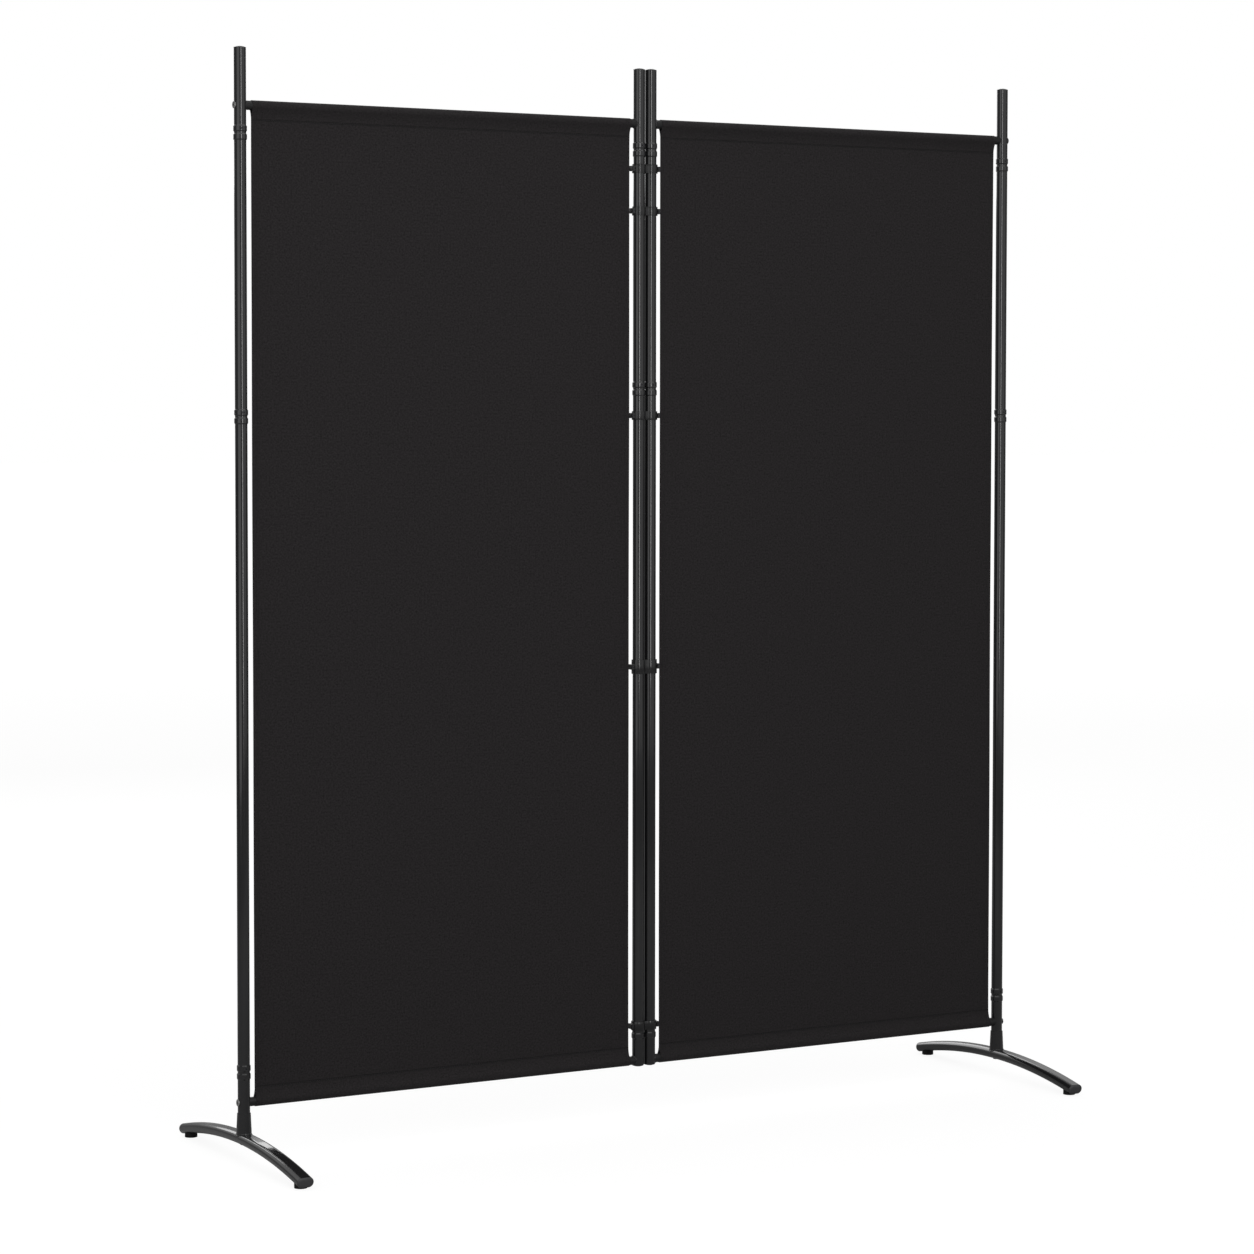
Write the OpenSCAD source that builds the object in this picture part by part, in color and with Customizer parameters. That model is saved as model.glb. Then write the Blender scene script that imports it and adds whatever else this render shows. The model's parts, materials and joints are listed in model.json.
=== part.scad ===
// Two-panel folding room divider. Each panel is a fabric sheet held on a top and a
// bottom rail between two round steel poles. The outer poles stand on arched feet, and
// clips join the two middle poles so that the panels fold to either side.
// X runs along the panels, -Y is the front, Z = 0 is the floor, and X = 0 lies midway
// between the middle poles.

/* [Screen] */
// Overall height, from the floor to the top of the pole plugs
screen_h = 1800; // [1500:10:2200]
// Distance between the two pole axes of one panel
panel_pitch = 739; // [500:1:950]
// Height of the bottom rail's axis above the top of the feet
bottom_rail_rise = 50.5; // [46:0.5:70]
// Depth of the top rail's axis below the top of the screen
top_rail_drop = 94; // [60:1:130]

/* [Poles] */
// Outside diameter of the pole tube
pole_d = 20; // [16:0.5:24]
// Wall of the pole tube
pole_wall = 1; // [0.8:0.1:1.4]
// Height of the pole's lowest joint above the bottom rail's axis
joint_rise = 49.5; // [35:0.5:70]
// Length of the upper section of a middle pole
inner_upper_len = 407.5; // [200:0.5:520]
// Length of the upper section of an outer pole
outer_upper_len = 454.5; // [200:0.5:540]
// Length of the spigot that enters the next section
spigot_len = 40; // [25:1:60]
// Radial slip of a spigot in its tube
spigot_slip = 0.1; // [0.05:0.05:0.3]
// Height of the rolled bead on each side of a joint
bead_h = 11; // [6:0.5:12]
// How far a bead stands out of the tube
bead_proud = 1.2; // [0.3:0.1:1.5]
// Air gap between the beads of the two middle poles
bead_gap = 0.4; // [0.3:0.1:2]
// Height of the domed part of a pole plug
plug_dome = 2.2; // [1:0.1:4]
// Length of a plug inside its tube
plug_len = 12; // [6:1:20]

/* [Rails] */
// Outside diameter of the rail tube
rail_d = 15; // [12:0.5:18]
// Wall of the rail tube
rail_wall = 1; // [0.8:0.1:1.4]
// Head diameter of the bolt that holds a rail to an outer pole
rail_bolt_head_d = 12; // [12:0.5:16]
// Thickness of the saddle washer at the crown of the pole
saddle_t = 0.3; // [0.3:0.1:2]

/* [Fabric] */
// Thickness of the fabric
fabric_t = 0.8; // [0.5:0.1:1.5]
// Air gap between a pole and the side edge of the fabric
fabric_side_gap = 9.3; // [9:0.1:20]
// How far a rod pocket reaches past the side edge of the fabric
pocket_flare = 0.6; // [0:0.1:5]
// Depth of a rod pocket, from the outer edge to its seam
pocket_h = 32; // [25:1:50]
// Radial play of a rail in its pocket
pocket_play = 0.15; // [0.1:0.05:1]

/* [Hinge clips] */
// Wall of a clip around a pole
clip_wall = 2; // [1.5:0.1:3]
// Radial running clearance of a clip on a pole
clip_fit = 0.05; // [0.02:0.01:0.1]
// Height of the ordinary clips
clip_h = 15; // [12:1:18]
// Height of the middle of the tall clip
tall_clip_z = 777.5; // [400:0.5:850]
// Height of the tall clip itself
tall_clip_h = 24; // [15:1:30]
// Reach of a clip's pinch lugs beyond the face of the pole
lug_reach = 6.7; // [6.4:0.1:7]

/* [Feet] */
// Overall length of a foot, front to back
foot_len = 480; // [300:5:600]
// Width of the flat oval foot tube
foot_w = 28; // [25:0.5:36]
// Thickness of the flat oval foot tube
foot_t = 17; // [13:0.5:18]
// Wall of the foot tube
foot_wall = 1.2; // [1:0.1:2]
// Gap between the floor and the tube's end
foot_end_clear = 3; // [2:0.5:8]
// Drop of the tube's centre line from the middle of the arch to its end
foot_drop = 26; // [15:0.5:40]
// Height of the pole socket above the top of the arch
socket_h = 33; // [20:1:40]
// Wall of the socket at its base, on the arch
socket_base_wall = 2.7; // [1.5:0.05:4]
// Wall of the socket at its mouth
socket_mouth_wall = 1.05; // [0.8:0.05:2]
// Diameter of a floor glide
glide_d = 21; // [16:0.5:26]
// Distance of a glide's centre from the end of the foot
glide_inset = 20.5; // [18:0.5:60]

/* [Hidden] */
$fn = 64;

// Finishes
POWDER_BLACK = "#26262a";
GLOSS_BLACK = "#303034";
CLOTH = "#2a2829";
PLASTIC = "#1f1f21";
CAP_GREY = "#3c3c3f";
STEEL = "#a9abad";
RUBBER = "#141414";

// Signs of the two panels
LEFT = -1;
RIGHT = 1;

// Poles
pole_r = pole_d / 2;
pole_bore_r = pole_r - pole_wall;
bead_r = pole_r + bead_proud;
spigot_r = pole_bore_r - spigot_slip;
inner_x = bead_r + bead_gap / 2;
outer_x = inner_x + panel_pitch;
plug_flange = 0.8;
tube_top_z = screen_h - plug_dome - plug_flange;
foot_top_z = foot_end_clear + foot_drop + foot_t;
rail_r = rail_d / 2;
top_rail_z = screen_h - top_rail_drop;
bottom_rail_z = foot_top_z + bottom_rail_rise;
// The spigot in a top section ends just below the rail's bolt
spigot_clear = 4;
top_joint_z = top_rail_z - spigot_clear - spigot_len;
inner_joint_z = top_joint_z - inner_upper_len;
outer_joint_z = top_joint_z - outer_upper_len;
bottom_joint_z = bottom_rail_z + joint_rise;
// A middle pole ends just below its bottom rail, an outer one just above the arch
inner_foot_z = bottom_rail_z - rail_r - 0.5;
outer_foot_z = foot_top_z + 1;
swage_len = 2;
cut = 1;

// Fasteners
contact_gap = 0.02;
bolt_r = 3;
bolt_hole_r = 3.3;
bolt_head_h = 1;
nut_len = 20;
joint_screw_r = 1.9;
joint_screw_head_r = 2.9;
joint_screw_head_h = 1;
// Straight rim above a countersink, deep enough to clear the round of the bead at its sides
joint_screw_rim = 0.1;
joint_screw_rise = bead_h / 2 + 1;
// The head's rim is flush with the round of the bead
joint_screw_y = -sqrt(bead_r * bead_r - joint_screw_head_r * joint_screw_head_r);
hex_socket_r = 2.3;
small_socket_r = 1.2;

// Fabric
pocket_in_r = rail_r + pocket_play;
pocket_out_r = pocket_in_r + fabric_t;
// Distance of a pocket's seam from the rail's axis
seam_drop = pocket_h - pocket_out_r;
fabric_edge = pole_r + fabric_side_gap;
pocket_edge = fabric_edge - pocket_flare;

// Clips: the first two hang below the top joint, the third below the half-way joint, the
// tall fourth is in the lower half, and the last stands on the bottom joint
clip_bore_r = pole_r + clip_fit;
clip_out_r = pole_r + clip_wall;
CLIP_HEIGHTS = [clip_h, clip_h, clip_h, tall_clip_h, clip_h];
CLIP_LEVELS = [
    top_joint_z - 32.5,
    top_joint_z - 104.5,
    inner_joint_z - 46,
    tall_clip_z,
    bottom_joint_z + 3 + clip_h / 2
];
waist_x = 4.5;
waist_y = 7.5;
lug_x = lug_reach + pole_r;
lug_depth = 5;
lug_h = 9;
lug_slit = 1;
pinch_r = 1.25;
pinch_hole_r = 1.35;
pinch_head_r = 2.25;
pinch_head_h = 1.6;
pinch_nut_r = 2.9;
pinch_nut_h = 2;
// The screw stands just far enough out for its nut to clear the ring
pinch_x = sqrt(clip_out_r * clip_out_r - lug_depth * lug_depth) + pinch_nut_r + 0.15;

// Feet
cap_bulge = 4;
cap_flange = 1.2;
cap_insert = 12;
arch_half = foot_len / 2 - cap_bulge;
arch_r = (arch_half * arch_half + foot_drop * foot_drop) / (2 * foot_drop);
arch_angle = asin(arch_half / arch_r);
arch_centre_z = foot_top_z - foot_t / 2 - arch_r;
arch_bore_w = foot_w - 2 * foot_wall;
arch_bore_t = foot_t - 2 * foot_wall;
socket_base_z = foot_top_z - 4;
socket_mouth_z = foot_top_z + socket_h;
socket_bore_r = pole_r + 0.05;
foot_bolt_head_r = 6;
foot_bolt_head_h = 1.6;
foot_nut_len = 14;
foot_bolt_top_z = outer_foot_z + foot_nut_len + 2;
glide_y = foot_len / 2 - glide_inset;
glide_peg_r = 3;
glide_peg_hole_r = 3.1;
// Height of the underside of the arch where a glide's axis meets it
glide_seat_z = arch_centre_z + sqrt(pow(arch_r - foot_t / 2, 2) - glide_y * glide_y);
glide_peg_top_z = glide_seat_z + 6;

// ---- Poles ----

// Rolled bead around a tube, from z up
module bead(z) {
    slope = bead_proud * 1.6;
    translate([0, 0, z])
        cylinder(h = slope, r1 = pole_r - contact_gap, r2 = bead_r);
    translate([0, 0, z + slope])
        cylinder(h = bead_h - 2 * slope, r = bead_r);
    translate([0, 0, z + bead_h - slope])
        cylinder(h = slope, r1 = bead_r, r2 = pole_r - contact_gap);
}

// One length of pole tube, with an optional spigot at its top and beads at its ends
module pole_section(z0, z1, spigot, low_bead, high_bead) {
    difference() {
        union() {
            translate([0, 0, z0])
                cylinder(h = z1 - z0, r = pole_r);
            if (spigot)
                translate([0, 0, z1 - cut])
                    cylinder(h = spigot_len + cut, r = spigot_r);
            if (low_bead)
                bead(z0 + bead_proud);
            if (high_bead)
                bead(z1 - bead_proud - bead_h);
        }
        translate([0, 0, z0 - cut])
            cylinder(h = z1 - z0 - (spigot ? swage_len : -cut) + cut, r = pole_bore_r);
        if (spigot)
            translate([0, 0, z1 - swage_len - cut])
                cylinder(h = spigot_len + swage_len + 2 * cut, r = spigot_r - pole_wall);
    }
}

// Holes in the front of a pole for the countersunk screw of a joint
module joint_screw_hole(z) {
    translate([0, joint_screw_y, z + joint_screw_rise])
        rotate([-90, 0, 0]) {
            translate([0, 0, -cut])
                cylinder(h = cut + joint_screw_rim, r = joint_screw_head_r + 0.1);
            cylinder(h = joint_screw_head_h, r1 = joint_screw_head_r + 0.1, r2 = joint_screw_r + 0.1);
            cylinder(h = pole_r, r = joint_screw_r + 0.1);
        }
}

// Holes across an outer pole for a rail bolt
module rail_bolt_hole(z) {
    translate([0, 0, z])
        rotate([0, 90, 0])
            cylinder(h = 3 * pole_d, r = bolt_hole_r, center = true);
}

module pole_top(x, bolted) {
    color(POWDER_BLACK)
        translate([x, 0, 0])
            difference() {
                pole_section(top_joint_z, tube_top_z, false, true, false);
                joint_screw_hole(top_joint_z);
                if (bolted)
                    rail_bolt_hole(top_rail_z);
            }
}

module pole_upper(x, joint_z) {
    color(POWDER_BLACK)
        translate([x, 0, 0])
            difference() {
                pole_section(joint_z, top_joint_z, true, true, true);
                joint_screw_hole(joint_z);
                joint_screw_hole(top_joint_z);
            }
}

module pole_lower(x, joint_z, low_bead) {
    color(POWDER_BLACK)
        translate([x, 0, 0])
            difference() {
                pole_section(bottom_joint_z, joint_z, true, low_bead, true);
                joint_screw_hole(joint_z);
                if (low_bead)
                    joint_screw_hole(bottom_joint_z);
            }
}

module pole_bottom(x, foot_z, screwed) {
    color(POWDER_BLACK)
        translate([x, 0, 0])
            difference() {
                pole_section(foot_z, bottom_joint_z, true, false, true);
                if (screwed) {
                    joint_screw_hole(bottom_joint_z);
                    rail_bolt_hole(bottom_rail_z);
                }
            }
}

// Domed plug, seated on the tube's end at z = 0 and pointing up
module plug() {
    dome_r = (pole_r * pole_r + plug_dome * plug_dome) / (2 * plug_dome);
    cylinder(h = plug_flange, r = pole_r);
    translate([0, 0, plug_flange])
        intersection() {
            cylinder(h = plug_dome, r = pole_r);
            translate([0, 0, plug_dome - dome_r])
                sphere(r = dome_r, $fn = 96);
        }
    translate([0, 0, -plug_len])
        difference() {
            cylinder(h = plug_len, r = pole_bore_r - contact_gap);
            translate([0, 0, -cut])
                cylinder(h = plug_len, r = pole_bore_r - 2);
        }
}

module top_plug(x) {
    color(PLASTIC)
        translate([x, 0, tube_top_z])
            plug();
}

module bottom_plug(x) {
    color(PLASTIC)
        translate([x, 0, inner_foot_z])
            rotate([180, 0, 0])
                plug();
}

// Countersunk screws of one panel's pole joints
module joint_screws(side) {
    outer_levels = [top_joint_z, outer_joint_z, bottom_joint_z];
    inner_levels = [top_joint_z, inner_joint_z];
    spots = concat(
        [for (z = outer_levels) [outer_x, z]],
        [for (z = inner_levels) [inner_x, z]]
    );
    color(STEEL)
        for (s = spots)
            translate([side * s[0], joint_screw_y, s[1] + joint_screw_rise])
                rotate([-90, 0, 0])
                    difference() {
                        union() {
                            cylinder(h = joint_screw_head_h,
                                r1 = joint_screw_head_r, r2 = joint_screw_r);
                            cylinder(h = pole_wall + spigot_slip + pole_wall + 2, r = joint_screw_r);
                        }
                        translate([0, 0, -cut])
                            cylinder(h = cut + 1.6, r = small_socket_r, $fn = 6);
                    }
}

// ---- Rails ----

// Tube from an outer pole to a middle pole, with both ends coped to the poles
module rail(side, z) {
    color(POWDER_BLACK)
        difference() {
            translate([side * (inner_x + outer_x) / 2, 0, z])
                rotate([0, 90, 0])
                    difference() {
                        cylinder(h = panel_pitch, r = rail_r, center = true);
                        cylinder(h = panel_pitch + cut, r = rail_r - rail_wall, center = true);
                    }
            for (x = [inner_x, outer_x])
                translate([side * x, 0, z - rail_d])
                    cylinder(h = 2 * rail_d, r = pole_r + contact_gap);
        }
}

// Things on the axes of a panel's two rails, drawn at its outer pole and pointing inwards
module at_outer_rail_ends(side) {
    for (z = [bottom_rail_z, top_rail_z])
        translate([side * outer_x, 0, z])
            rotate([0, -side * 90, 0])
                children();
}

module rail_bolts(side) {
    head_z = -(pole_r + saddle_t + bolt_head_h);
    color(STEEL)
        at_outer_rail_ends(side)
            difference() {
                union() {
                    translate([0, 0, head_z])
                        cylinder(h = 0.6, r1 = rail_bolt_head_d / 2 - 0.6, r2 = rail_bolt_head_d / 2);
                    translate([0, 0, head_z + 0.6])
                        cylinder(h = bolt_head_h - 0.6, r = rail_bolt_head_d / 2);
                    translate([0, 0, head_z + cut])
                        cylinder(h = 2 * pole_r + saddle_t + nut_len, r = bolt_r);
                }
                translate([0, 0, head_z - cut])
                    cylinder(h = cut + 1.2, r = hex_socket_r, $fn = 6);
            }
}

module saddle_washers(side) {
    color(PLASTIC)
        at_outer_rail_ends(side)
            difference() {
                translate([0, 0, -(pole_r + saddle_t)])
                    cylinder(h = pole_r / 2 + saddle_t, r = rail_bolt_head_d / 2 - 0.2);
                rotate([90, 0, 0])
                    rotate([0, 90, 0])
                        cylinder(h = 2 * pole_d, r = pole_r + contact_gap, center = true);
                translate([0, 0, -pole_d])
                    cylinder(h = pole_d, r = bolt_hole_r);
            }
}

// Threaded inserts in the outer ends of the rails
module rail_nuts(side) {
    color(STEEL)
        at_outer_rail_ends(side)
            translate([0, 0, pole_r + cut])
                difference() {
                    cylinder(h = nut_len, r = rail_r - rail_wall - contact_gap);
                    translate([0, 0, -cut])
                        cylinder(h = nut_len + 2 * cut, r = bolt_r + contact_gap);
                }
}

// ---- Fabric ----

// Round loop of fabric around a rail, drawn in to its seam below the rail
module teardrop(r, drop) {
    tangent = -asin(r / drop);
    steps = 40;
    arc = [
        for (i = [0:steps])
            let (a = tangent + i * (180 - 2 * tangent) / steps)
                [r * cos(a), r * sin(a)]
    ];
    polygon(concat(arc, [[0, -drop]]));
}

module rod_pocket() {
    difference() {
        teardrop(pocket_out_r, seam_drop);
        teardrop(pocket_in_r, seam_drop * pocket_in_r / pocket_out_r);
    }
}

// A sheet profile in the YZ plane drawn out along X, between two distances from the poles
module along_panel(side, edge) {
    width = panel_pitch - 2 * edge;
    translate([side * (inner_x + outer_x) / 2 - width / 2, 0, 0])
        rotate([90, 0, 90])
            linear_extrude(height = width)
                children();
}

module fabric(side) {
    low = bottom_rail_z + seam_drop - 2;
    high = top_rail_z - seam_drop + 2;
    color(CLOTH) {
        along_panel(side, pocket_edge)
            translate([0, top_rail_z])
                rod_pocket();
        along_panel(side, pocket_edge)
            translate([0, bottom_rail_z])
                mirror([0, 1])
                    rod_pocket();
        along_panel(side, fabric_edge)
            translate([-fabric_t / 2, low])
                square([fabric_t, high - low]);
    }
}

// ---- Hinge clips ----

// Moulded figure-eight clip with a split ring around each middle pole
module hinge_clip(i) {
    h = CLIP_HEIGHTS[i];
    color(PLASTIC)
        translate([0, 0, CLIP_LEVELS[i] - h / 2])
            difference() {
                union() {
                    for (s = [LEFT, RIGHT]) {
                        translate([s * inner_x, 0, 0])
                            cylinder(h = h, r = clip_out_r);
                        translate([s * (inner_x + lug_x / 2 + clip_bore_r / 2), 0, h / 2])
                            cube([lug_x - clip_bore_r, 2 * lug_depth, lug_h], center = true);
                    }
                    translate([-waist_x, -waist_y, 0])
                        cube([2 * waist_x, 2 * waist_y, h]);
                }
                for (s = [LEFT, RIGHT]) {
                    translate([s * inner_x, 0, -cut])
                        cylinder(h = h + 2 * cut, r = clip_bore_r);
                    translate([s * (inner_x + pole_r + lug_reach), 0, h / 2])
                        cube([2 * lug_reach, lug_slit, 2 * h], center = true);
                    translate([s * (inner_x + pinch_x), 0, h / 2])
                        rotate([90, 0, 0])
                            cylinder(h = 4 * lug_depth, r = pinch_hole_r, center = true);
                }
            }
}

// Things at every pinch screw's place, with +Z pointing backwards
module at_pinch_screws() {
    for (z = CLIP_LEVELS)
        for (s = [LEFT, RIGHT])
            translate([s * (inner_x + pinch_x), 0, z])
                rotate([-90, 0, 0])
                    children();
}

module hinge_clip_screws() {
    color(STEEL)
        at_pinch_screws()
            difference() {
                union() {
                    translate([0, 0, -lug_depth - pinch_head_h])
                        cylinder(h = pinch_head_h, r = pinch_head_r);
                    translate([0, 0, -lug_depth - pinch_head_h / 2])
                        cylinder(h = 2 * lug_depth + pinch_head_h / 2 + pinch_nut_h, r = pinch_r);
                }
                translate([0, 0, -lug_depth - pinch_head_h - cut])
                    cylinder(h = cut + 1, r = small_socket_r, $fn = 6);
            }
}

module hinge_clip_nuts() {
    color(STEEL)
        at_pinch_screws()
            translate([0, 0, lug_depth])
                difference() {
                    cylinder(h = pinch_nut_h, r = pinch_nut_r, $fn = 6);
                    translate([0, 0, -cut])
                        cylinder(h = pinch_nut_h + 2 * cut, r = pinch_r + contact_gap);
                }
}

// ---- Feet ----

// Flat oval with its thickness along X and its width along Y
module flat_oval(t, w) {
    square([t, w - t], center = true);
    for (s = [-1, 1])
        translate([0, s * (w - t) / 2])
            circle(d = t);
}

// Frame of the arch: the bend's axis runs along X, and children lie at the bend's centre
module arch_frame(x) {
    translate([x, 0, arch_centre_z])
        rotate([90, 0, 90])
            children();
}

// Length of the bent bar, in fine steps along the bend and coarser ones round its section
module arch_bar(x, t, w, spread) {
    arch_frame(x)
        rotate([0, 0, 90 - spread])
            rotate_extrude(angle = 2 * spread, $fn = 720)
                translate([arch_r, 0])
                    flat_oval(t, w, $fn = 64);
}

module foot_arch(x) {
    color(GLOSS_BLACK)
        difference() {
            arch_bar(x, foot_t, foot_w, arch_angle);
            arch_bar(x, arch_bore_t, arch_bore_w, arch_angle + 1);
            translate([x, 0, 0])
                cylinder(h = 2 * foot_top_z, r = bolt_hole_r);
            for (s = [-1, 1])
                translate([x, s * glide_y, 0])
                    cylinder(h = glide_peg_top_z, r = glide_peg_hole_r);
        }
}

module foot_socket(x) {
    color(POWDER_BLACK)
        difference() {
            translate([x, 0, socket_base_z])
                cylinder(h = socket_mouth_z - socket_base_z,
                    r1 = socket_bore_r + socket_base_wall, r2 = socket_bore_r + socket_mouth_wall);
            arch_bar(x, foot_t + contact_gap, foot_w + contact_gap, arch_angle);
            translate([x, 0, 0])
                cylinder(h = 2 * socket_mouth_z, r = socket_bore_r);
        }
}

// end is -1 at the front of the foot and 1 at the back
module at_foot_end(x, end) {
    mirror([0, end < 0 ? 1 : 0, 0])
        arch_frame(x)
            rotate([0, 0, 90 - arch_angle])
                translate([arch_r, 0, 0])
                    rotate([90, 0, 0])
                        children();
}

module foot_cap(x, end) {
    lip = 2.6;
    color(CAP_GREY)
        at_foot_end(x, end) {
            linear_extrude(height = cap_flange)
                flat_oval(foot_t, foot_w);
            hull() {
                translate([0, 0, cap_flange - 0.1])
                    linear_extrude(height = 0.1, $fn = 32)
                        flat_oval(foot_t, foot_w);
                translate([0, 0, cap_flange + (cap_bulge - cap_flange) * 0.6])
                    linear_extrude(height = 0.1, $fn = 32)
                        flat_oval(foot_t - lip, foot_w - lip);
                translate([0, 0, cap_bulge - 0.1])
                    linear_extrude(height = 0.1, $fn = 32)
                        flat_oval(foot_t - 3 * lip, foot_w - 3 * lip);
            }
            translate([0, 0, -cap_insert])
                linear_extrude(height = cap_insert)
                    flat_oval(arch_bore_t - 0.6, arch_bore_w - 0.6);
        }
}

module foot_glide(x, end) {
    color(RUBBER)
        translate([x, end * glide_y, 0])
            difference() {
                cylinder(h = glide_seat_z + 4, d = glide_d);
                translate([-x, -end * glide_y, 0])
                    arch_bar(x, foot_t + contact_gap, foot_w + contact_gap, arch_angle);
            }
    color(RUBBER)
        translate([x, end * glide_y, cut])
            cylinder(h = glide_peg_top_z - 2 * cut, r = glide_peg_r);
}

module foot_bolt(x) {
    head_z = foot_top_z - foot_t - foot_bolt_head_h - 2 * contact_gap;
    color(STEEL)
        translate([x, 0, head_z])
            difference() {
                union() {
                    cylinder(h = foot_bolt_head_h, r = foot_bolt_head_r);
                    cylinder(h = foot_bolt_top_z - head_z, r = bolt_r);
                }
                translate([0, 0, -cut])
                    cylinder(h = cut + 2, r = hex_socket_r, $fn = 6);
            }
}

// Threaded plug in the foot of an outer pole
module foot_nut(x) {
    color(STEEL)
        translate([x, 0, outer_foot_z])
            difference() {
                cylinder(h = foot_nut_len, r = pole_bore_r - contact_gap);
                translate([0, 0, -cut])
                    cylinder(h = foot_nut_len + 2 * cut, r = bolt_r + contact_gap);
            }
}

// ---- Nodes ----

pole_top(-outer_x, true);  // left_outer_pole_top
pole_upper(-outer_x, outer_joint_z);  // left_outer_pole_upper
pole_lower(-outer_x, outer_joint_z, true);  // left_outer_pole_lower
pole_bottom(-outer_x, outer_foot_z, true);  // left_outer_pole_bottom
pole_top(-inner_x, false);  // left_inner_pole_top
pole_upper(-inner_x, inner_joint_z);  // left_inner_pole_upper
pole_lower(-inner_x, inner_joint_z, false);  // left_inner_pole_lower
pole_bottom(-inner_x, inner_foot_z, false);  // left_inner_pole_bottom
pole_top(inner_x, false);  // right_inner_pole_top
pole_upper(inner_x, inner_joint_z);  // right_inner_pole_upper
pole_lower(inner_x, inner_joint_z, false);  // right_inner_pole_lower
pole_bottom(inner_x, inner_foot_z, false);  // right_inner_pole_bottom
pole_top(outer_x, true);  // right_outer_pole_top
pole_upper(outer_x, outer_joint_z);  // right_outer_pole_upper
pole_lower(outer_x, outer_joint_z, true);  // right_outer_pole_lower
pole_bottom(outer_x, outer_foot_z, true);  // right_outer_pole_bottom
top_plug(-outer_x);  // left_outer_top_plug
top_plug(-inner_x);  // left_inner_top_plug
top_plug(inner_x);  // right_inner_top_plug
top_plug(outer_x);  // right_outer_top_plug
bottom_plug(-inner_x);  // left_inner_bottom_plug
bottom_plug(inner_x);  // right_inner_bottom_plug
rail(LEFT, top_rail_z);  // left_top_rail
rail(LEFT, bottom_rail_z);  // left_bottom_rail
rail(RIGHT, top_rail_z);  // right_top_rail
rail(RIGHT, bottom_rail_z);  // right_bottom_rail
rail_bolts(LEFT);  // left_rail_bolts
rail_bolts(RIGHT);  // right_rail_bolts
saddle_washers(LEFT);  // left_saddle_washers
saddle_washers(RIGHT);  // right_saddle_washers
rail_nuts(LEFT);  // left_rail_nuts
rail_nuts(RIGHT);  // right_rail_nuts
joint_screws(LEFT);  // left_joint_screws
joint_screws(RIGHT);  // right_joint_screws
hinge_clip(0);  // hinge_clip_1
hinge_clip(1);  // hinge_clip_2
hinge_clip(2);  // hinge_clip_3
hinge_clip(3);  // hinge_clip_4
hinge_clip(4);  // hinge_clip_5
hinge_clip_screws();
hinge_clip_nuts();
fabric(LEFT);  // left_fabric
fabric(RIGHT);  // right_fabric
foot_arch(-outer_x);  // left_foot_arch
foot_arch(outer_x);  // right_foot_arch
foot_socket(-outer_x);  // left_foot_socket
foot_socket(outer_x);  // right_foot_socket
foot_cap(-outer_x, -1);  // left_foot_front_cap
foot_cap(-outer_x, 1);  // left_foot_rear_cap
foot_cap(outer_x, -1);  // right_foot_front_cap
foot_cap(outer_x, 1);  // right_foot_rear_cap
foot_glide(-outer_x, -1);  // left_foot_front_glide
foot_glide(-outer_x, 1);  // left_foot_rear_glide
foot_glide(outer_x, -1);  // right_foot_front_glide
foot_glide(outer_x, 1);  // right_foot_rear_glide
foot_bolt(-outer_x);  // left_foot_bolt
foot_bolt(outer_x);  // right_foot_bolt
foot_nut(-outer_x);  // left_foot_nut
foot_nut(outer_x);  // right_foot_nut
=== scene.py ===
import json
import math
import bmesh
import bpy
import numpy as np
from mathutils import Matrix, Vector

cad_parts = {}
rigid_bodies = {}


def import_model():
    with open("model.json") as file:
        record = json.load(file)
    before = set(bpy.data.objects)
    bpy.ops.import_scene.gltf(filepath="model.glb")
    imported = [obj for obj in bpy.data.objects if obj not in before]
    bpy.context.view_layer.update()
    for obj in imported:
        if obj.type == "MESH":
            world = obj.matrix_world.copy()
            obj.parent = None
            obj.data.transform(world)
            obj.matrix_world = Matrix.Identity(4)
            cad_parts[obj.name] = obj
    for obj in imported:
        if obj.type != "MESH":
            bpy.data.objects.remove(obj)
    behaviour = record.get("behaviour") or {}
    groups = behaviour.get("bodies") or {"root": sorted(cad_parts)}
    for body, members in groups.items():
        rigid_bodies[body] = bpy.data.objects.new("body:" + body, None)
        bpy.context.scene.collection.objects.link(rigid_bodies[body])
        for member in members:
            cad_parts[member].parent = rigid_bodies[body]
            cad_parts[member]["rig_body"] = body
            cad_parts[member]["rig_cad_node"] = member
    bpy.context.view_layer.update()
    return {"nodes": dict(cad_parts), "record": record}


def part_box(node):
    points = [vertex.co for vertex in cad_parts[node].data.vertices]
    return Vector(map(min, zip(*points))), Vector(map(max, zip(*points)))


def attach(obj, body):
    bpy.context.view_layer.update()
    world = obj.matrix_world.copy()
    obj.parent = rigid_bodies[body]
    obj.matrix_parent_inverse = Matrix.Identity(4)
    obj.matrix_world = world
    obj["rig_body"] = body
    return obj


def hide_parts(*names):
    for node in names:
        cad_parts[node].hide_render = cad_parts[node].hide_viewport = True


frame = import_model()
nodes = frame["nodes"]

# Sizes of the frame that the new pieces fit to, in metres
MM = 0.001
POLE_R = 10 * MM
RAIL_R = 7.5 * MM
POCKET_R = 8.02 * MM          # middle of the cloth where it lies round a rail
POCKET_WRAP = math.radians(24)    # how far below a rail's level the cloth still lies on it
CLOTH = 0.7 * MM
FRONT_LAY = -0.42 * MM        # middle of the front layer at a seam, and of the turned end behind it
BACK_LAY = 0.48 * MM
SEAM_DROP = 23.0 * MM         # from a rail's axis to its pocket's seam
SEAM_TURN = 10 * MM           # cloth behind the seam
web_width = 0.7004
HEM = 10 * MM
HEM_STITCH = HEM * 0.8        # from the cloth's edge to the stitches of its side hem
STITCH_PITCH = 4.0 * MM
STITCH_LENGTH = 3.3 * MM
THREAD_R = 0.24 * MM
WAVE_PHASE = {"left": 0.7, "right": 2.4}
FOOT_W, FOOT_T = 28 * MM, 17 * MM
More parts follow.
